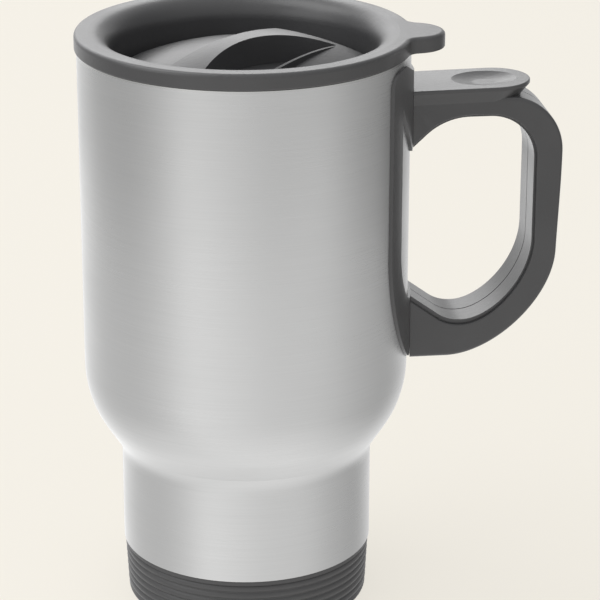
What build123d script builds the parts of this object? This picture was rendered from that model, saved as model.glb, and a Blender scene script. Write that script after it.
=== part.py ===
from build123d import *
import os
from math import atan2, cos, degrees, radians, sin, sqrt, tan

# Insulated travel mug with a side handle, a push-in lid and a twist closure.
# Millimetres. +Z is up, the origin is the centre of the base on the mug's axis,
# and the handle points along +X. A drinker who holds it in the right hand sits at -Y.

# ---------------------------------------------------------------- driving dimensions
TOTAL_HEIGHT = 160.0      # table to the top of the lid's rim
SHEET = 0.6               # steel of both walls

BODY_R = 44.0             # outer wall, upper cylinder
NECK_R = 34.3             # outer wall under the shoulder, sized for a cup holder
FOOT_R = 34.3             # outer wall at its bottom edge
SHOULDER_Z = 68.0         # where the upper cylinder starts to turn in
SHOULDER_BEND = 30.0      # convex radius of the shoulder
SHOULDER_SLOPE = 33.0     # steepest lean of the shoulder, in degrees from upright
NECK_BEND = 9.0           # concave radius between shoulder and foot
STEEL_FOOT_Z = 16.0       # bottom edge of the outer wall

LINER_R = 39.6            # outside of the inner cup, upper cylinder
LINER_NECK_R = 30.4       # outside of the inner cup, lower cylinder
LINER_FLOOR_Z = 22.0      # underside of the inner cup's floor
LINER_FOOT_BEND = 7.0
LIP_TOP = 155.5           # top of the lip that joins the two walls
LIP_BEND = 2.0
FLOOR_DISC_Z = 19.0       # underside of the disc that closes the outer wall

CAP_TOP_R = 34.0          # ribbed base cap, just under the steel
CAP_FOOT_R = 33.2
CAP_WALL = 2.2
RIB_COUNT = 6
RIB_PITCH = 2.08
RIB_LAND = 1.8            # height of one rounded rib, the rest is groove
RIB_DEPTH = 0.42
RIB_FIRST_Z = 2.98        # middle of the lowest rib

RIM_R = 44.6              # lid rim
RIM_BOTTOM = 155.7
RIM_ROLL = 6.0            # radius that rolls from the rim's top into the well
WELL_R = 35.0
WELL_FLOOR = 145.5
LID_FLOOR = 2.2           # thickness of the lid's floor
PLUG_R = 38.4             # the part of the lid that goes into the mouth
GASKET_GROOVE_R = 36.9
GASKET_R = 38.85          # tips of the gasket's lips, just short of the mouth
GASKET_Z = 148.6          # middle of the gasket
TAB_REACH = 52.8          # tip of the lid's tab, from the axis
TAB_R = 8.5
LID_TURN = -7.5           # the lid is pressed in by hand, a little off the handle's line

DIAL_R = 33.2             # twist closure
DOME_TOP = 155.94
DOME_R = 81.6
FIN_TOP = 158.0           # grip fin: a second dome, off centre, trims its top
FIN_DOME_R = 70.0
FIN_DOME_XY = (3.2, 2.4)
FLANK_TOP = 157.80        # raised flank at the right of the pocket, of the fin's curvature
FLANK_XY = (4.0, 4.95)
VALLEY_TOP = 157.28       # the flank drops to this surface past the pocket's lip
VALLEY_XY = (7.6, 10.4)
VALLEY_DROP = 0.9         # but never more than this under the main dome
CORE_Z = 148.3            # ceiling of the hollow under the dial
DIAL_BOTTOM = 146.2
POCKET_Z = 150.2          # floor of the finger pocket
DIAL_TURN = -6.0          # the dial's own frame when it's closed
OPENING_TURN = 60.0       # how far it turns from closed to open
PORT_AT = -90.0           # the drink port faces the drinker, the vent is opposite
VENT_OUT = 29.5           # the vent's distance from the axis
VENT_W = 3.6              # its channel in the dial
HUB_R = 3.5
HUB_GAP = 0.05            # running fit of the hub in its hole, per side

PLATE_T = 0.8             # saddle plate between handle and wall
PLATE_R = BODY_R + PLATE_T
HANDLE_W = 18.0           # both halves of the handle
BAND_W = 16.0             # finger side, which stands proud of the rims beside it
BAND_STEP = 0.6
HANDLE_WALL = 2.2
REST_W = 20.2             # thumb rest
REST_ROOT_TOP = 144.3     # its top at the wall
REST_TIP_TOP = 144.85     # its top at the tip
REST_TIP = 76.7           # its tip, from the axis
REST_EDGE = 1.0           # height of its upright edge, over the bevel
ARM_TOP = 141.7           # top of the handle, which carries the thumb rest
SCREW_R = 1.5
SCREW_Y = 5.0             # each half of the handle takes one screw at each end
SCREW_ZS = (137.8, 76.5)
SCREW_TIP = 51.0
PAD_X = 41.6              # flat seat of the screw heads, inside the wall
HOLE_GAP = 0.2            # clearance of the screws in sheet and plates, per side
FIT = 0.05                # clearance per side between pieces that fit together
SKIN = 0.02               # the same between thin pieces that lie on each other
HANDLE_SPAN = (60.0, 156.0)    # heights that take in all of the handle and saddle
WALL_DEPTH = (20.0, 60.0)      # distances from the axis that take in the saddle's curve
HOLE_DEPTH = (40.0, 50.0)      # distances from the axis that take in the screwed layers

MOUTH_Z = LIP_TOP - SHEET  # top edge of the outer wall, underside of the lip
CAP_TOP_Z = STEEL_FOOT_Z - 0.25
FLOOR_EDGE_R = FOOT_R - SHEET - FIT - SKIN


# ---------------------------------------------------------------- helpers
def turned(edges):
    """Solid of revolution about Z from edges drawn as (radius, height)."""
    return revolve(Plane.XZ * make_face(edges), Axis.Z)


def tube(outer, inner, bottom, top):
    """Plain ring or sleeve about Z."""
    return extrude(Pos(0, 0, bottom) * (Circle(outer) - Circle(inner)), top - bottom)


def disc(radius, bottom, top):
    """Plain cylinder about Z."""
    return extrude(Pos(0, 0, bottom) * Circle(radius), top - bottom)


def along_x(sketch, from_x, to_x):
    """Prism along the handle's direction from a sketch drawn as (y, height)."""
    return extrude(Plane.YZ.offset(from_x) * sketch, to_x - from_x)


def pins_along_x(radius, from_x, to_x):
    """One cylinder on each handle screw's axis."""
    spots = [Pos(y, z) * Circle(radius) for z in SCREW_ZS for y in (-SCREW_Y, SCREW_Y)]
    return [along_x(spot, from_x, to_x) for spot in spots]


def screw_holes():
    """Clearance holes for the screws through the wall, the saddle and the pads."""
    return pins_along_x(SCREW_R + HOLE_GAP, *HOLE_DEPTH)


def less(shape, tools):
    """Cut every tool from a shape."""
    for tool in tools:
        shape = shape - tool
    return shape


def save(shape, node):
    """Write one sub-part."""
    shape.label = node
    export_step(shape, f"parts/{node}.step")


def stepped_plug(inset, body_r, neck_r, foot_r, top_z, foot_z, foot_bend=0.0):
    """Full body of a wall that narrows through the shoulder, moved in by inset."""
    lean = radians(SHOULDER_SLOPE)
    hip_r = SHOULDER_BEND - (BODY_R - body_r) - inset
    hip_mid = BODY_R - SHOULDER_BEND
    waist_r = NECK_BEND + inset
    waist_mid = neck_r + NECK_BEND
    hip = (hip_mid + hip_r * cos(lean), SHOULDER_Z - hip_r * sin(lean))
    waist_x = waist_mid - waist_r * cos(lean)
    waist = (waist_x, hip[1] - (hip[0] - waist_x) / sin(lean) * cos(lean))
    neck = (neck_r - inset, waist[1] - waist_r * sin(lean))
    corner = max(foot_bend - inset, 0.0)
    floor_z = foot_z + (inset if foot_bend else 0.0)
    side_r = foot_r - inset
    edges = [
        Line((0, top_z), (body_r - inset, top_z)),
        Line((body_r - inset, top_z), (body_r - inset, SHOULDER_Z)),
        CenterArc((hip_mid, SHOULDER_Z), hip_r, 0, -SHOULDER_SLOPE),
        Line(hip, waist),
        CenterArc((waist_mid, neck[1]), waist_r, 180 - SHOULDER_SLOPE, SHOULDER_SLOPE),
        Line(neck, (side_r, floor_z + corner)),
        Line((side_r - corner, floor_z), (0, floor_z)),
        Line((0, floor_z), (0, top_z)),
    ]
    if corner:
        edges.append(CenterArc((side_r - corner, floor_z + corner), corner, 0, -90))
    return turned(edges)


# ---------------------------------------------------------------- cup
def outer_shell():
    """Brushed outer wall, open at both ends, with the handle screws' holes."""
    wall = stepped_plug(0, BODY_R, NECK_R, FOOT_R, MOUTH_Z, STEEL_FOOT_Z)
    wall -= stepped_plug(SHEET, BODY_R, NECK_R, FOOT_R, MOUTH_Z + 1, STEEL_FOOT_Z - 1)
    return less(wall, screw_holes())


def inner_liner():
    """Inner cup: its mouth bends outward into the lip that sits on the outer wall."""
    bend_z = MOUTH_Z - LIP_BEND
    bend_x = LINER_R + LIP_BEND
    size = (LINER_R, LINER_NECK_R, LINER_NECK_R)
    cup = stepped_plug(0, *size, bend_z, LINER_FLOOR_Z, LINER_FOOT_BEND)
    cup -= stepped_plug(SHEET, *size, bend_z + 1, LINER_FLOOR_Z, LINER_FOOT_BEND)
    lip = turned([
        CenterArc((bend_x, bend_z), LIP_BEND + SHEET, 90, 90),
        Line((bend_x, LIP_TOP), (BODY_R, LIP_TOP)),
        Line((BODY_R, LIP_TOP), (BODY_R, MOUTH_Z)),
        Line((BODY_R, MOUTH_Z), (bend_x, MOUTH_Z)),
        CenterArc((bend_x, bend_z), LIP_BEND, 90, 90),
        Line((LINER_R, bend_z), (LINER_R - SHEET, bend_z)),
    ])
    return cup + lip


def shell_floor():
    """Steel disc pressed into the outer wall's foot, with its edge turned down."""
    edge_h = 2.4
    edge_z = FLOOR_DISC_Z - edge_h
    inner_r = FLOOR_EDGE_R - SHEET
    return turned([Polyline(
        (0, FLOOR_DISC_Z), (inner_r, FLOOR_DISC_Z), (inner_r, edge_z), (FLOOR_EDGE_R, edge_z),
        (FLOOR_EDGE_R, FLOOR_DISC_Z + SHEET), (0, FLOOR_DISC_Z + SHEET), (0, FLOOR_DISC_Z))])


def base_cap():
    """Ribbed plastic foot, hollow, with a spigot that plugs into the shell floor's edge."""
    spigot_r = FLOOR_EDGE_R - SHEET - FIT
    spigot_z = FLOOR_DISC_Z - 0.2
    edge = 1.0
    groove_in, groove_out, groove_z = 21.0, 27.0, 0.8
    floor_top = 3.4

    def groove_r(z):
        return CAP_FOOT_R + (CAP_TOP_R - CAP_FOOT_R) * z / CAP_TOP_Z - RIB_DEPTH

    edges = [
        Polyline((0, 0), (groove_in, 0), (groove_in + groove_z, groove_z),
                 (groove_out - groove_z, groove_z), (groove_out, 0), (CAP_FOOT_R - edge, 0)),
        CenterArc((CAP_FOOT_R - edge, edge), edge, -90, 90),
    ]
    end = (CAP_FOOT_R, edge)
    for k in range(RIB_COUNT):
        middle = RIB_FIRST_Z + k * RIB_PITCH
        low = (groove_r(middle - RIB_LAND / 2), middle - RIB_LAND / 2)
        high = (groove_r(middle + RIB_LAND / 2), middle + RIB_LAND / 2)
        edges.append(Line(end, low))
        edges.append(ThreePointArc(low, (groove_r(middle) + RIB_DEPTH, middle), high))
        end = high
    edges.append(Polyline(
        end, (CAP_TOP_R, end[1] + RIB_DEPTH), (CAP_TOP_R, CAP_TOP_Z), (spigot_r, CAP_TOP_Z),
        (spigot_r, spigot_z), (spigot_r - CAP_WALL, spigot_z), (spigot_r - CAP_WALL, floor_top),
        (0, floor_top), (0, 0)))
    return turned(edges)


# ---------------------------------------------------------------- handle
def saddle_outline():
    """Outside of the saddle, drawn as (y, height): deep round foot, dipped top."""
    foot_z = 70.2
    side_y = 26.8
    foot_y = 9.0
    foot_h = 34.0
    top_z = 153.9
    corner = 4.6
    dip_y = 19.5
    dip_z = 149.0
    right = [
        EllipticalCenterArc((foot_y, foot_z + foot_h), side_y - foot_y, foot_h, 270,
                            arc_size=90),
        Line((side_y, foot_z + foot_h), (side_y, top_z - corner)),
        CenterArc((side_y - corner, top_z - corner), corner, 0, 90),
        Line((side_y - corner, top_z), (dip_y, top_z)),
    ]
    left = [mirror(edge, Plane.YZ) for edge in right]
    dip = ThreePointArc((-dip_y, top_z), (0, dip_z), (dip_y, top_z))
    foot = Line((-foot_y, foot_z), (foot_y, foot_z))
    return make_face(right + left + [dip, foot])


def saddle_window():
    """Window of the saddle: the wall shows through it behind the finger gap."""
    side_y = 21.9
    top_z = 143.3
    tongue = (11.0, 128.4)
    sill_z = 87.2
    sill_y = 10.0
    sill_h = 16.0
    right = [
        EllipticalCenterArc((sill_y, sill_z + sill_h), side_y - sill_y, sill_h, 270,
                            arc_size=90),
        Line((side_y, sill_z + sill_h), (side_y, top_z)),
        ThreePointArc((side_y, top_z), (17.0, 134.9), tongue),
    ]
    left = [mirror(edge, Plane.YZ) for edge in right]
    sill = Line((-sill_y, sill_z), (sill_y, sill_z))
    top = Line((-tongue[0], tongue[1]), tongue)
    return make_face(right + left + [sill, top])


def handle_saddle():
    """Thin frame that hugs the wall and spreads the handle's load over it."""
    plate = tube(PLATE_R, BODY_R + SKIN, *HANDLE_SPAN)
    plate &= along_x(saddle_outline(), *WALL_DEPTH)
    plate -= along_x(saddle_window(), *WALL_DEPTH)
    return less(plate, screw_holes())


def finger_gap(step):
    """Side view of the opening for the fingers, grown by step, and by more at the heel."""
    behind = 38.0
    top_lean, foot_lean = radians(43.0), radians(36.0)
    top_bend, grip_bend, foot_bend = 17.0, 12.0, 10.0
    arm_z, foot_z, grip_x, grip_z = 136.35 + step, 79.0 - 2 * step, 77.0 + step, 102.0
    top_x = 52.7 - step * tan(top_lean / 2)
    foot_x = 54.3 - step * tan(foot_lean / 2)
    heel_x = 58.3
    top_behind = (behind, arm_z - (top_x - behind) * tan(top_lean))
    foot_behind = (behind, foot_z + (foot_x - behind) * tan(foot_lean))
    return make_face([
        FilletPolyline(top_behind, (top_x, arm_z), (grip_x, arm_z), (grip_x, grip_z),
                       radius=[top_bend + step, grip_bend + step]),
        Bezier((grip_x, grip_z), (grip_x, 89.5), (66.0 + step / 2, foot_z), (heel_x, foot_z)),
        FilletPolyline((heel_x, foot_z), (foot_x, foot_z), foot_behind, radius=foot_bend + step),
        Line(foot_behind, top_behind),
    ])


def handle_side(inset):
    """Side view of the handle without its opening, drawn in by inset."""
    root_x, back_x, bend = 41.0, 84.7, 15.6
    bend_x, bend_z = back_x - bend, ARM_TOP - bend
    top_z, foot_z, grip_x = ARM_TOP - inset, 68.7 + inset, back_x - inset
    waist = (grip_x - 0.9, 98.0)
    return make_face([
        Line((root_x, top_z), (bend_x, top_z)),
        CenterArc((bend_x, bend_z), grip_x - bend_x, 90, -90),
        Bezier((grip_x, bend_z), (grip_x, 117.0), (grip_x - 0.6, 107.5), waist),
        Bezier(waist, (grip_x - 1.33, 84.0), (67.5 - inset / 2, foot_z), (54.0, foot_z)),
        Line((54.0, foot_z), (root_x, foot_z)),
        Line((root_x, foot_z), (root_x, top_z)),
    ])


def plate_across(side_view, from_y, to_y):
    """Plate across the handle from a side view."""
    return extrude(Plane.XZ.offset(-to_y) * side_view, to_y - from_y)


def rounded_side(from_y):
    """One side of the handle without its opening, with its outer edge rounded."""
    half_w, edge_round = HANDLE_W / 2, 1.1
    body = plate_across(handle_side(0), from_y, half_w)
    return fillet(body.edges().filter_by_position(Axis.Y, half_w, half_w), edge_round)


def rest_keel(grow):
    """T-shaped rail under the thumb rest, clamped between the halves of the handle."""
    from_x, to_x = 54.5, 64.5
    stem_w, foot_w, foot_h = 2.0, 4.4, 1.0
    wall_z = ARM_TOP - HANDLE_WALL
    wide, long = 2 * grow, to_x - from_x + 2 * grow
    stem_z = (wall_z - foot_h / 2 + ARM_TOP) / 2
    stem = Box(long, stem_w + wide, 2 * (ARM_TOP - stem_z))
    foot = Box(long, foot_w + wide, foot_h + wide)
    middle = (from_x + to_x) / 2
    return Pos(middle, 0, stem_z) * stem + Pos(middle, 0, wall_z - foot_h / 2 - FIT) * foot


def handle_half():
    """Left half of the handle: hollow, open at the seam, with two screw bosses."""
    seam, rim_round = 0.2, 0.4
    band_depth = 4.0
    boss_wall, boss_x, tip_gap = 1.3, 44.0, 0.3
    half_w = HANDLE_W / 2
    across = half_w + 1
    section = handle_side(0) - finger_gap(0)
    inlay = handle_side(seam) - finger_gap(seam)
    hollow = handle_side(HANDLE_WALL) - finger_gap(HANDLE_WALL)
    body = rounded_side(seam) - plate_across(finger_gap(BAND_STEP), -1, across)
    rim = body.edges().filter_by_position(Axis.Y, half_w, half_w)
    body = fillet(rim.sort_by_distance((77.5, half_w, 114.0))[0], rim_round)
    band = plate_across(finger_gap(band_depth), 0, half_w)
    body += plate_across(section, seam, BAND_W / 2) & band
    body += plate_across(inlay, 0, seam)
    cavity = plate_across(hollow, -1, half_w - HANDLE_WALL)
    cavity -= disc(PLATE_R + HANDLE_WALL, *HANDLE_SPAN)
    cavity = less(cavity, pins_along_x(SCREW_R + boss_wall, boss_x, SCREW_TIP + boss_wall))
    body -= cavity
    body -= disc(PLATE_R + FIT, *HANDLE_SPAN)
    body = less(body, pins_along_x(SCREW_R + FIT, HOLE_DEPTH[0], SCREW_TIP + tip_gap))
    return body - rest_keel(FIT)


def rest_plan(half_w, tip_x):
    """Strip along the handle with a round tip, seen from above."""
    root_x = 41.0
    end_x = tip_x - half_w
    strip = Pos((root_x + end_x) / 2, 0) * Rectangle(end_x - root_x, 2 * half_w)
    return strip + Pos(end_x, 0) * Circle(half_w)


def thumb_rest():
    """Slab with a round tip and a dish; under its upright edge it leans in to meet the handle."""
    bevel, bevel_lean, top_round = 3.4, 42.0, 0.35
    foot_half_w = HANDLE_W / 2 - 0.1
    foot_tip = REST_TIP - bevel * tan(radians(bevel_lean))
    under = 5.0
    rise = degrees(atan2(REST_TIP_TOP - REST_ROOT_TOP, REST_TIP - PLATE_R))
    dish_along, dish_across, dish_depth, dish_x = 34.0, 21.6, 1.15, 64.3
    plan = rest_plan(REST_W / 2, REST_TIP)
    slab = extrude(plan, -REST_EDGE)
    slab = fillet(slab.edges().group_by(Axis.Z)[-1], top_round)
    bowl = Torus(dish_along - dish_across, dish_across, rotation=(90, 0, 0))
    slab -= Pos(dish_x, 0, dish_along - dish_depth) * bowl
    foot = Pos(0, 0, -REST_EDGE - bevel) * rest_plan(foot_half_w, foot_tip)
    slab += loft([Pos(0, 0, -REST_EDGE) * plan, foot], ruled=True)
    slab = Pos(PLATE_R, 0, REST_ROOT_TOP) * Rot(0, -rise, 0) * Pos(-PLATE_R, 0, 0) * slab
    slab -= disc(PLATE_R + FIT, ARM_TOP - under, REST_TIP_TOP + under)
    arm = rounded_side(0)
    slab = slab - arm - mirror(arm, Plane.XZ)
    return slab + rest_keel(0)


def handle_screws():
    """Four pan-head screws, from inside the wall into the handle's bosses."""
    head_r, head_h = 2.6, 1.3
    drive_r, drive_h = 1.1, 0.7
    screws = []
    heads = pins_along_x(head_r, PAD_X - head_h, PAD_X)
    shanks = pins_along_x(SCREW_R, PAD_X, SCREW_TIP)
    drives = pins_along_x(drive_r, PAD_X - head_h - drive_h, PAD_X - head_h + drive_h)
    for head, shank, drive in zip(heads, shanks, drives):
        screws.append(head + shank - drive)
    return Compound(screws)


def backing_plates():
    """Two pads between the screw heads and the wall, flat inside and curved outside."""
    half_y, half_z, thick = 9.0, 5.0, 2.0
    blocks = [Pos(PAD_X + thick / 2, 0, z) * Box(thick, 2 * half_y, 2 * half_z) for z in SCREW_ZS]
    inside = disc(BODY_R - SHEET - SKIN, *HANDLE_SPAN)
    return Compound([less(block & inside, screw_holes()) for block in blocks])


# ---------------------------------------------------------------- lid
def at_azimuth(radius, azimuth):
    """Place at a radius and a compass angle from the handle's direction."""
    return Rot(0, 0, azimuth) * Pos(radius, 0)


def port_shape():
    """Drink port: a slot bent round the axis, drawn about +X."""
    middle_r, half_w, half_turn = 29.5, 2.9, 11.0
    path = CenterArc((0, 0), middle_r, -half_turn, 2 * half_turn)
    return SlotArc(path, 2 * half_w)


def lid_body():
    """Lid: rim with a tab over the handle, well for the dial, plug for the mouth."""
    roll_x, roll_z = WELL_R + RIM_ROLL, TOTAL_HEIGHT - RIM_ROLL
    rim_in, rim_lap = RIM_R - 1.6, 0.6
    tab_neck, rim_round, foot_round = 3.6, 1.1, 0.4
    well_bend, lead = 1.0, 1.0
    plug_z = WELL_FLOOR - LID_FLOOR
    groove_h, vent_r = 4.0, 1.5
    groove = (GASKET_Z - groove_h / 2, GASKET_Z + groove_h / 2)
    hole_r = HUB_R + HUB_GAP
    plug = turned([
        Line((hole_r, WELL_FLOOR), (WELL_R - well_bend, WELL_FLOOR)),
        CenterArc((WELL_R - well_bend, WELL_FLOOR + well_bend), well_bend, 270, 90),
        Line((WELL_R, WELL_FLOOR + well_bend), (WELL_R, roll_z)),
        CenterArc((roll_x, roll_z), RIM_ROLL, 90, 90),
        Polyline((roll_x, TOTAL_HEIGHT), (rim_in, TOTAL_HEIGHT), (rim_in, RIM_BOTTOM),
                 (PLUG_R, RIM_BOTTOM), (PLUG_R, groove[1]), (GASKET_GROOVE_R, groove[1]),
                 (GASKET_GROOVE_R, groove[0]), (PLUG_R, groove[0]), (PLUG_R, plug_z + lead),
                 (PLUG_R - lead, plug_z), (hole_r, plug_z), (hole_r, WELL_FLOOR)),
    ])
    outline = Circle(RIM_R) + Pos(TAB_REACH - TAB_R, 0) * Circle(TAB_R)
    outline = fillet(outline.vertices(), tab_neck)
    rim = extrude(Pos(0, 0, RIM_BOTTOM) * outline, TOTAL_HEIGHT - RIM_BOTTOM)
    rim = fillet(rim.edges().group_by(Axis.Z)[-1], rim_round)
    rim = fillet(rim.edges().group_by(Axis.Z)[0], foot_round)
    rim -= disc(rim_in - rim_lap, RIM_BOTTOM - 1, TOTAL_HEIGHT + 1)
    lid = plug + rim
    below, above = plug_z - 1, WELL_FLOOR + 1
    port = extrude(Pos(0, 0, below) * Rot(0, 0, PORT_AT) * port_shape(), above - below)
    vent = at_azimuth(VENT_OUT, PORT_AT + 180) * Circle(vent_r)
    vent = extrude(Pos(0, 0, below) * vent, above - below)
    return Rot(0, 0, LID_TURN) * (lid - port - vent)


def lid_gasket():
    """Rubber ring in the plug's groove, with two soft lips."""
    inner_r = GASKET_GROOVE_R + FIT
    back_r = 38.0
    half_h, lip_h = 1.9, 0.7
    edges = [Polyline((back_r, GASKET_Z - half_h), (inner_r, GASKET_Z - half_h),
                      (inner_r, GASKET_Z + half_h), (back_r, GASKET_Z + half_h))]
    top = half_h
    for middle in (1.0, -1.0):
        low, high = GASKET_Z + middle - lip_h / 2, GASKET_Z + middle + lip_h / 2
        edges.append(Line((back_r, GASKET_Z + top), (back_r, high)))
        edges.append(ThreePointArc((back_r, high), (GASKET_R, (low + high) / 2), (back_r, low)))
        top = middle - lip_h / 2
    edges.append(Line((back_r, GASKET_Z + top), (back_r, GASKET_Z - half_h)))
    return turned(edges)


# ---------------------------------------------------------------- twist closure
SEAL_IN, SEAL_OUT = 24.6, 32.4
SEAL_TOP = DIAL_BOTTOM + 1.2
SEAL_FOOT = WELL_FLOOR + 0.12
FLANK_Z = SEAL_TOP + 0.2  # the raised flank's root, inside the dome
CLIP_Z = (140.6, 141.6)
CLIP_GROOVE_R = 2.6


def fin_outline():
    """Plan of the grip fin: straight back, thin tail. The pocket bows its front."""
    head, shoulder, tail = (-19.5, -11.0), (8.7, 11.9), (28.5, 5.0)
    inside_cusp, inside_toe = (23.4, 2.0), (-9.0, -19.0)
    return make_face([
        Line(head, shoulder),
        ThreePointArc(shoulder, (19.3, 7.1), tail),
        Polyline(tail, inside_cusp, inside_toe, head),
    ])


def pocket_outline():
    """Plan of the finger pocket: a leaf with its tip under the fin's tail."""
    cusp, toe, heel = (24.5, 3.1), (-11.6, -20.4), (5.2, -20.0)
    return make_face([
        Bezier(toe, (-2.1, 2.5), (11.2, 5.2), cusp),
        ThreePointArc(toe, (-3.4, -23.6), heel),
        ThreePointArc(heel, (17.0, -7.0), cusp),
    ])


def flank_outline():
    """Plan of the raised flank that runs down from the fin's tail to the right."""
    return make_face(Polyline((22.0, 4.8), (26.6, 4.6), (34.0, 3.4), (34.0, -34.0), (-2.0, -34.0),
                              (2.0, -18.0), (22.0, 2.0), (22.0, 4.8)))


def valley_outline():
    """Plan of the part of the flank that drops away beside the pocket, past a narrow lip."""
    tip, waist, foot, rim = (25.6, 3.9), (17.5, -7.3), (5.2, -21.0), (-3.0, -34.0)
    return make_face([
        ThreePointArc(foot, waist, tip),
        Polyline(tip, (36.0, 4.0), (36.0, -34.0), rim, foot),
    ])


def notch_shape():
    """Plan of the dial's notch, which lines up with the drink port when it's open."""
    middle_r, half_w, half_turn = 30.5, 4.2, 11.0
    path = CenterArc((0, 0), middle_r, -half_turn, 2 * half_turn)
    return SlotArc(path, 2 * half_w)


def notch_azimuth():
    """Azimuth of the notch in the dial's own frame, with the dial closed."""
    return PORT_AT + LID_TURN - DIAL_TURN - OPENING_TURN


def cap(top, centre, radius):
    """Ball whose top is at a height, over a centre; its poles lie on the sides."""
    return Pos(*centre, top - radius) * Sphere(radius, rotation=(90, 0, 0))


def closure_dial():
    """Low dome with a grip fin and a finger pocket, notched where it uncovers the port."""
    edge_z = DOME_TOP - DOME_R + sqrt(DOME_R ** 2 - DIAL_R ** 2)
    hub_z = CLIP_Z[0] - 0.6
    core_in, core_out = 8.0, 23.4
    edge_round, over = 1.0, 12.0
    vent_long, vent_high = 9.0, 3.2
    dome = turned([
        ThreePointArc((0, DOME_TOP),
                      (DIAL_R / 2, DOME_TOP - DOME_R + sqrt(DOME_R ** 2 - DIAL_R ** 2 / 4)),
                      (DIAL_R, edge_z)),
        Polyline((DIAL_R, edge_z), (DIAL_R, DIAL_BOTTOM), (SEAL_OUT, DIAL_BOTTOM),
                 (SEAL_OUT, SEAL_TOP), (SEAL_IN, SEAL_TOP), (SEAL_IN, DIAL_BOTTOM),
                 (core_out, DIAL_BOTTOM), (core_out, CORE_Z), (core_in, CORE_Z),
                 (core_in, DIAL_BOTTOM), (HUB_R, DIAL_BOTTOM), (HUB_R, CLIP_Z[1]),
                 (CLIP_GROOVE_R, CLIP_Z[1]), (CLIP_GROOVE_R, CLIP_Z[0]), (HUB_R, CLIP_Z[0]),
                 (HUB_R, hub_z), (0, hub_z), (0, DOME_TOP)),
    ])
    dome = fillet(dome.edges().filter_by_position(Axis.Z, edge_z, edge_z), edge_round)
    fin = extrude(Pos(0, 0, POCKET_Z) * fin_outline(), over) & cap(FIN_TOP, FIN_DOME_XY, FIN_DOME_R)
    flank = extrude(Pos(0, 0, FLANK_Z) * flank_outline(), over) & disc(DIAL_R, FLANK_Z, FIN_TOP)
    flank &= cap(FLANK_TOP, FLANK_XY, FIN_DOME_R)
    valley = extrude(Pos(0, 0, FLANK_Z) * valley_outline(), over)
    valley -= cap(VALLEY_TOP, VALLEY_XY, FIN_DOME_R)
    valley -= cap(DOME_TOP - VALLEY_DROP, (0, 0), DOME_R)
    dome = dome + flank - valley
    pocket = extrude(Pos(0, 0, POCKET_Z) * pocket_outline(), over)
    notch = extrude(Pos(0, 0, DIAL_BOTTOM - 1) * Rot(0, 0, notch_azimuth()) * notch_shape(), over)
    vent = at_azimuth(VENT_OUT, notch_azimuth() + 180) * Box(vent_long, VENT_W, vent_high)
    vent = Pos(0, 0, DIAL_BOTTOM) * vent
    return Rot(0, 0, DIAL_TURN) * (dome + fin - pocket - notch - vent)


def closure_seal():
    """Flat rubber ring in the dial's underside, open at the notch and at the vent."""
    ring = tube(SEAL_OUT - FIT, SEAL_IN + FIT, SEAL_FOOT, SEAL_TOP)
    through = 4.0
    notch = extrude(Pos(0, 0, SEAL_FOOT - 1) * Rot(0, 0, notch_azimuth()) * notch_shape(), through)
    vent = at_azimuth(VENT_OUT, notch_azimuth() + 180) * Box(12.0, VENT_W, through)
    return Rot(0, 0, DIAL_TURN) * (ring - notch - Pos(0, 0, SEAL_FOOT) * vent)


def pivot_washer():
    """Slip washer between the lid's underside and the clip."""
    outer_r = 5.6
    return tube(outer_r, HUB_R + HUB_GAP, CLIP_Z[1] + FIT, WELL_FLOOR - LID_FLOOR - 2 * FIT)


def pivot_clip():
    """Open retaining clip that snaps into the hub's groove."""
    outer_r, mouth_w = 5.2, 4.2
    ring = tube(outer_r, CLIP_GROOVE_R + FIT, CLIP_Z[0] + FIT, CLIP_Z[1] - FIT)
    mouth = Pos(outer_r, 0, CLIP_Z[0]) * Box(2 * outer_r, mouth_w, mouth_w)
    return ring - mouth


os.makedirs("parts", exist_ok=True)
save(outer_shell(), "outer_shell")
save(inner_liner(), "inner_liner")
save(shell_floor(), "shell_floor")
save(base_cap(), "base_cap")
save(handle_saddle(), "handle_saddle")
left_half = handle_half()
save(left_half, "handle_half_left")
save(mirror(left_half, Plane.XZ), "handle_half_right")
save(thumb_rest(), "thumb_rest")
save(handle_screws(), "handle_screws")
save(backing_plates(), "backing_plates")
save(lid_body(), "lid_body")
save(lid_gasket(), "lid_gasket")
save(closure_dial(), "closure_dial")
save(closure_seal(), "closure_seal")
save(pivot_washer(), "pivot_washer")
save(pivot_clip(), "pivot_clip")
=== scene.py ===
import math

import bpy
from mathutils import Matrix, Vector


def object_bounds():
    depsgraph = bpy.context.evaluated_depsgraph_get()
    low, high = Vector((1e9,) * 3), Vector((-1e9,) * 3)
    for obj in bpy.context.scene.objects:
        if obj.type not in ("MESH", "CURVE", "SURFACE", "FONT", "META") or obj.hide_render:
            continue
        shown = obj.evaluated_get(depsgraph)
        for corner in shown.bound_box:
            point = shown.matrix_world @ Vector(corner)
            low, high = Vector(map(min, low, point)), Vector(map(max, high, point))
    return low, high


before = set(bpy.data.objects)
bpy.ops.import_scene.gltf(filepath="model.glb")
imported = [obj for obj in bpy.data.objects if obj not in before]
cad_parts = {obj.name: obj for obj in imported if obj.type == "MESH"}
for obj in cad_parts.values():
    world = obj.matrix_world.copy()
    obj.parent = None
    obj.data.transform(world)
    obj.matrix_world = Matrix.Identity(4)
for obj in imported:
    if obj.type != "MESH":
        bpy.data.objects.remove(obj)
CAD_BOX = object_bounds()
LOW, HIGH = Vector(CAD_BOX[0]), Vector(CAD_BOX[1])
HEIGHT = HIGH.z - LOW.z

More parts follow.
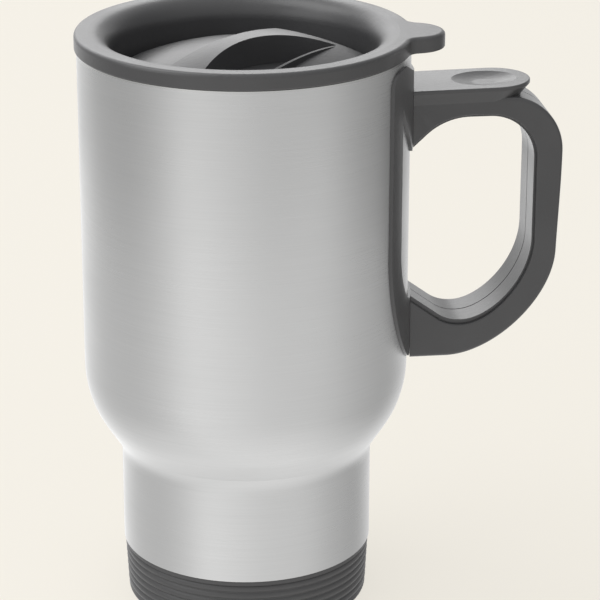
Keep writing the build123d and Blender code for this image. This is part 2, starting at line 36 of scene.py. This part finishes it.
# ---------------------------------------------------------------- camera
CAMERA_AROUND = math.radians(-6.0)    # the camera stands a little to the left of the mug's front
CAMERA_AWAY = 0.67235                 # from the mug's axis, over the floor
CAMERA_ABOVE = 0.17450                # over the lid's rim
CAMERA_YAW = math.radians(7.264)      # from +Y towards +X
CAMERA_DOWN = math.radians(20.418)
CAMERA_ROLL = math.radians(0.094)
CAMERA_LENS = 158.15


def add_camera():
    """Camera at the photograph's viewing angle."""
    data = bpy.data.cameras.new("camera")
    data.sensor_width = 36.0
    data.lens = CAMERA_LENS
    data.clip_start = 0.01
    data.clip_end = 20.0
    camera = bpy.data.objects.new("camera", data)
    place = Vector((math.sin(CAMERA_AROUND), -math.cos(CAMERA_AROUND), 0.0)) * CAMERA_AWAY
    place.z = HIGH.z + CAMERA_ABOVE
    turn = (Matrix.Rotation(-CAMERA_YAW, 4, "Z") @ Matrix.Rotation(math.pi / 2 - CAMERA_DOWN, 4, "X")
            @ Matrix.Rotation(CAMERA_ROLL, 4, "Z"))
    camera.matrix_world = Matrix.Translation(place) @ turn
    bpy.context.scene.collection.objects.link(camera)
    bpy.context.scene.camera = camera


# ---------------------------------------------------------------- stage and light
PAPER = (0.915, 0.880, 0.805)         # warm white of the floor and backdrop
PAPER_GLOW = 0.77                     # light of the paper's own, so its shadows stay pale
PAPER_SHADE = 0.18                    # how much of the lamps' light it gives back
SOFTBOXES = [                         # name, width and height, place, power in watts
    ("behind", (1.38, 0.75), (-0.25, 1.5, 0.85), 5.4),
    ("overhead", (0.8, 0.8), (-0.55, 0.15, 1.1), 5.5),
    ("left", (1.2, 1.0), (-1.3, -0.5, 0.7), 5.0)]
TABLE_SIZE = 0.72                     # the lit table round the mug, seen in the low steel
TABLE_GAP = 0.001                     # over the floor
TABLE_POWER = 0.32
STEEP_LIGHT = 0.95                    # brightness of the room overhead and underfoot
STEEP_SPAN = (0.55, 0.95)             # sine of the elevation, from where it starts to all of it
ROOM_LIGHT = [                        # compass degrees from the handle's side, and brightness
    (-180.0, 0.55), (-158.0, 0.66), (-135.0, 1.04), (-105.0, 0.89), (-80.0, 0.75), (-45.0, 0.74),
    (-5.0, 0.47), (25.0, 0.34), (55.0, 0.85), (80.0, 1.25), (99.0, 1.50), (117.0, 1.08), (145.0, 0.62),
    (180.0, 0.55)]


def add_area(name, size, place, target, power):
    """White rectangular softbox at place, facing target."""
    data = bpy.data.lights.new(name, "AREA")
    data.shape = "RECTANGLE"
    data.size, data.size_y = size
    data.energy = power
    lamp = bpy.data.objects.new(name, data)
    lamp.location = place
    lamp.rotation_euler = (Vector(target) - Vector(place)).to_track_quat("-Z", "Y").to_euler()
    bpy.context.scene.collection.objects.link(lamp)
    return lamp


def add_light():
    """Soft studio: boxes behind, overhead and at the left, a lit table, and a room of soft light."""
    middle = (0.0, 0.0, HEIGHT / 2)
    for name, size, place, power in SOFTBOXES:
        add_area(name, size, place, middle, power)
    table_top = (0.0, 0.0, LOW.z + TABLE_GAP)
    table = add_area("table", (TABLE_SIZE, TABLE_SIZE), table_top, (0.0, 0.0, 1.0), TABLE_POWER)
    table.visible_camera = False
    add_room()
    bpy.context.scene.view_settings.view_transform = "Standard"


def add_room():
    """Soft light from all round, brighter and darker by compass direction, as in a room."""
    world = bpy.data.worlds.new("studio")
    world.use_nodes = True
    tree = world.node_tree
    background = tree.nodes["Background"]
    split = tree.nodes.new("ShaderNodeSeparateXYZ")
    angle = tree.nodes.new("ShaderNodeMath")
    angle.operation = "ARCTAN2"
    turn = tree.nodes.new("ShaderNodeMapRange")
    turn.inputs["From Min"].default_value, turn.inputs["From Max"].default_value = -math.pi, math.pi
    ramp = tree.nodes.new("ShaderNodeValToRGB")
    ramp.color_ramp.interpolation = "EASE"
    stops = ramp.color_ramp.elements
    while len(stops) < len(ROOM_LIGHT):
        stops.new(1.0)
    for stop, (degrees, light) in zip(stops, ROOM_LIGHT):
        stop.position = (degrees + 180.0) / 360.0
        stop.color = (light, light, light, 1.0)
    level = tree.nodes.new("ShaderNodeMapRange")
    level.inputs["From Min"].default_value, level.inputs["From Max"].default_value = STEEP_SPAN
    steep = tree.nodes.new("ShaderNodeMath")
    steep.operation = "ABSOLUTE"
    mix = tree.nodes.new("ShaderNodeMix")
    mix.data_type = "RGBA"
    mix.inputs["B"].default_value = (STEEP_LIGHT, STEEP_LIGHT, STEEP_LIGHT, 1.0)
    direction = tree.nodes.new("ShaderNodeTexCoord").outputs["Generated"]
    link = tree.links.new
    link(direction, split.inputs["Vector"])
    link(split.outputs["Y"], angle.inputs[0])
    link(split.outputs["X"], angle.inputs[1])
    link(angle.outputs["Value"], turn.inputs["Value"])
    link(turn.outputs["Result"], ramp.inputs["Fac"])
    link(split.outputs["Z"], steep.inputs[0])
    link(steep.outputs["Value"], level.inputs["Value"])
    link(level.outputs["Result"], mix.inputs["Factor"])
    link(ramp.outputs["Color"], mix.inputs["A"])
    link(mix.outputs["Result"], background.inputs["Color"])
    background.inputs["Strength"].default_value = 1.0
    bpy.context.scene.world = world


def add_floor():
    """Pale paper sweep: flat under the mug, curved up behind it."""
    half_width, front, bend_from, bend, top = 3.0, -2.5, 1.6, 0.8, 3.0
    steps = 16
    rows = [(front, 0.0), (bend_from, 0.0)]
    for k in range(1, steps + 1):
        angle = math.pi / 2 * k / steps
        rows.append((bend_from + bend * math.sin(angle), bend * (1 - math.cos(angle))))
    rows.append((bend_from + bend, top))
    points = [(x, y, LOW.z + z) for y, z in rows for x in (-half_width, half_width)]
    faces = [(2 * k, 2 * k + 1, 2 * k + 3, 2 * k + 2) for k in range(len(rows) - 1)]
    mesh = bpy.data.meshes.new("floor")
    mesh.from_pydata(points, [], faces)
    for face in mesh.polygons:
        face.use_smooth = True
    floor = bpy.data.objects.new("floor", mesh)
    bpy.context.scene.collection.objects.link(floor)
    paper = Nodes("paper")
    paper.set(base=[c * PAPER_SHADE for c in PAPER], roughness=0.9)
    paper.shader.inputs["Specular IOR Level"].default_value = 0.0
    paper.shader.inputs["Emission Color"].default_value = (*PAPER, 1.0)
    paper.shader.inputs["Emission Strength"].default_value = PAPER_GLOW
    mesh.materials.append(paper.material)
    floor.visible_glossy = False


# ---------------------------------------------------------------- materials
class Nodes:
    """A node material with a Principled shader, and short calls to build its textures."""

    def __init__(self, name):
        self.material = bpy.data.materials.new(name)
        self.material.use_nodes = True
        self.tree = self.material.node_tree
        self.shader = self.tree.nodes["Principled BSDF"]
        self.place = self.add("ShaderNodeTexCoord").outputs["Object"]

    def add(self, kind, **settings):
        node = self.tree.nodes.new(kind)
        for key, value in settings.items():
            setattr(node, key, value)
        return node

    def link(self, source, target):
        self.tree.links.new(source, target)

    def set(self, base, roughness, metallic=0.0, ior=1.5):
        self.shader.inputs["Base Color"].default_value = (*base, 1.0)
        self.shader.inputs["Roughness"].default_value = roughness
        self.shader.inputs["Metallic"].default_value = metallic
        self.shader.inputs["IOR"].default_value = ior

    def noise(self, scale, detail=2.0, roughness=0.5):
        """Noise whose scale is in waves per metre along x, y and z."""
        mapping = self.add("ShaderNodeMapping")
        mapping.inputs["Scale"].default_value = scale
        self.link(self.place, mapping.inputs["Vector"])
        noise = self.add("ShaderNodeTexNoise")
        noise.inputs["Scale"].default_value = 1.0
        noise.inputs["Detail"].default_value = detail
        noise.inputs["Roughness"].default_value = roughness
        self.link(mapping.outputs["Vector"], noise.inputs["Vector"])
        return noise.outputs["Fac"]

    def spread(self, source, low, high, span=(0.3, 0.7)):
        """A texture's middle range turned into low to high."""
        node = self.add("ShaderNodeMapRange")
        node.inputs["From Min"].default_value, node.inputs["From Max"].default_value = span
        node.inputs["To Min"].default_value, node.inputs["To Max"].default_value = low, high
        self.link(source, node.inputs["Value"])
        return node.outputs["Result"]

    def blend(self, factor, first, second):
        """Colour that goes from first to second with factor."""
        node = self.add("ShaderNodeMix", data_type="RGBA")
        node.inputs["A"].default_value = (*first, 1.0)
        node.inputs["B"].default_value = (*second, 1.0)
        self.link(factor, node.inputs["Factor"])
        return node.outputs["Result"]

    def bump(self, height, depth, under=None):
        """Relief of depth metres, over another relief if one is given."""
        node = self.add("ShaderNodeBump")
        node.inputs["Strength"].default_value = 1.0
        node.inputs["Distance"].default_value = depth
        self.link(height, node.inputs["Height"])
        if under:
            self.link(under, node.inputs["Normal"])
        return node.outputs["Normal"]


def brushed_steel(name, base, roughness, brushing):
    """Steel brushed round the axis: long hair-fine scratches of several depths, faint cloudiness."""
    hair_depth, stroke_depth = 0.000006 * brushing, 0.000004 * brushing
    stroke_shade = 0.045 * brushing
    uneven, hair_uneven, stretch = 0.02, 0.03, 0.7
    dark = [c * (1 - stroke_shade) for c in base]
    nodes = Nodes(name)
    nodes.set(base, roughness, metallic=1.0)
    hair = nodes.noise((60, 60, 16000), detail=3.0, roughness=0.75)
    stroke = nodes.noise((45, 45, 5200), detail=3.0)
    cloud = nodes.noise((30, 30, 45), detail=3.0)
    tint = nodes.blend(nodes.spread(stroke, 0.0, 1.0), dark, base)
    nodes.link(tint, nodes.shader.inputs["Base Color"])
    both = nodes.add("ShaderNodeMath", operation="ADD")
    nodes.link(nodes.spread(hair, -hair_uneven, hair_uneven), both.inputs[0])
    nodes.link(nodes.spread(cloud, roughness - uneven, roughness + uneven), both.inputs[1])
    nodes.link(both.outputs["Value"], nodes.shader.inputs["Roughness"])
    relief = nodes.bump(hair, hair_depth)
    relief = nodes.bump(stroke, stroke_depth, under=relief)
    nodes.link(relief, nodes.shader.inputs["Normal"])
    nodes.shader.inputs["Anisotropic"].default_value = stretch
    tangent = nodes.add("ShaderNodeTangent", direction_type="RADIAL", axis="Z")
    nodes.link(tangent.outputs["Tangent"], nodes.shader.inputs["Tangent"])
    return nodes.material


def moulded_plastic(name, base, roughness):
    """Satin moulded plastic: fine spark grain, faint flow marks, and a painted highlight that makes pointy
    edges a little lighter.
    """
    # painted edge highlight: its strength, the pointiness span it fades in over, and how much lighter than
    # the base colour it is
    painted_edge_light, painted_edge_from, painted_edge_to, painted_edge_brightness = 0.15, 0.52, 0.60, 2.2
    spark_depth, pit_depth, uneven = 0.000025, 0.00003, 0.03
    flow_dark, flow_light = [c * 0.90 for c in base], [c * 1.08 for c in base]
    nodes = Nodes(name)
    nodes.set(base, roughness, ior=1.52)
    spark = nodes.noise((2600, 2600, 2600), detail=2.0, roughness=0.6)
    pits = nodes.noise((900, 900, 900), detail=1.0)
    flow = nodes.noise((40, 40, 40), detail=3.0)
    # painted highlight: pointy edges are mixed up to 0.15 of the way toward a copy of the base colour 2.2
    # times lighter
    edge_pointiness = nodes.add("ShaderNodeNewGeometry").outputs["Pointiness"]
    painted_edge_mask = nodes.spread(edge_pointiness, 0.0, painted_edge_light, span=(painted_edge_from, painted_edge_to))
    mottled = nodes.blend(nodes.spread(flow, 0.0, 1.0), flow_dark, flow_light)
    with_painted_edge = nodes.add("ShaderNodeMix", data_type="RGBA")
    with_painted_edge.inputs["B"].default_value = (*[c * painted_edge_brightness for c in base], 1.0)
    nodes.link(painted_edge_mask, with_painted_edge.inputs["Factor"])
    nodes.link(mottled, with_painted_edge.inputs["A"])
    nodes.link(with_painted_edge.outputs["Result"], nodes.shader.inputs["Base Color"])
    nodes.link(nodes.spread(flow, roughness - uneven, roughness + uneven), nodes.shader.inputs["Roughness"])
    relief = nodes.bump(spark, spark_depth)
    relief = nodes.bump(pits, pit_depth, under=relief)
    nodes.link(relief, nodes.shader.inputs["Normal"])
    return nodes.material


def soft_rubber(name, base):
    """Matt silicone with dust-fine grain."""
    dust_depth = 0.00002
    dark, light = [c * 0.85 for c in base], [c * 1.2 for c in base]
    nodes = Nodes(name)
    nodes.set(base, roughness=0.75, ior=1.41)
    dust = nodes.noise((1500, 1500, 1500), detail=3.0)
    tone = nodes.blend(nodes.spread(dust, 0.0, 1.0), dark, light)
    nodes.link(tone, nodes.shader.inputs["Base Color"])
    nodes.link(nodes.bump(dust, dust_depth), nodes.shader.inputs["Normal"])
    return nodes.material


def finish_nodes():
    """Give every CAD node its finish."""
    wall = brushed_steel("outer_steel", (0.60, 0.60, 0.595), 0.30, 1.0)
    liner = brushed_steel("liner_steel", (0.58, 0.58, 0.57), 0.24, 0.6)
    hardware = brushed_steel("hardware_steel", (0.50, 0.50, 0.50), 0.30, 0.5)
    handle = moulded_plastic("handle_plastic", (0.050, 0.050, 0.052), 0.31)
    base = moulded_plastic("base_plastic", (0.050, 0.050, 0.052), 0.45)
    lid = moulded_plastic("lid_plastic", (0.048, 0.048, 0.050), 0.36)
    dial = moulded_plastic("dial_plastic", (0.048, 0.048, 0.050), 0.36)
    washer = moulded_plastic("washer_plastic", (0.70, 0.69, 0.66), 0.45)
    rubber = soft_rubber("seal_rubber", (0.035, 0.035, 0.036))
    finishes = {
        "outer_shell": wall, "inner_liner": liner, "shell_floor": liner,
        "handle_screws": hardware, "backing_plates": hardware, "pivot_clip": hardware,
        "base_cap": base, "handle_saddle": handle, "handle_half_left": handle,
        "handle_half_right": handle, "thumb_rest": handle, "lid_body": lid,
        "closure_dial": dial, "pivot_washer": washer, "lid_gasket": rubber, "closure_seal": rubber,
    }
    for node, material in finishes.items():
        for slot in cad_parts[node].material_slots:
            slot.material = material


add_camera()
add_floor()
add_light()
finish_nodes()
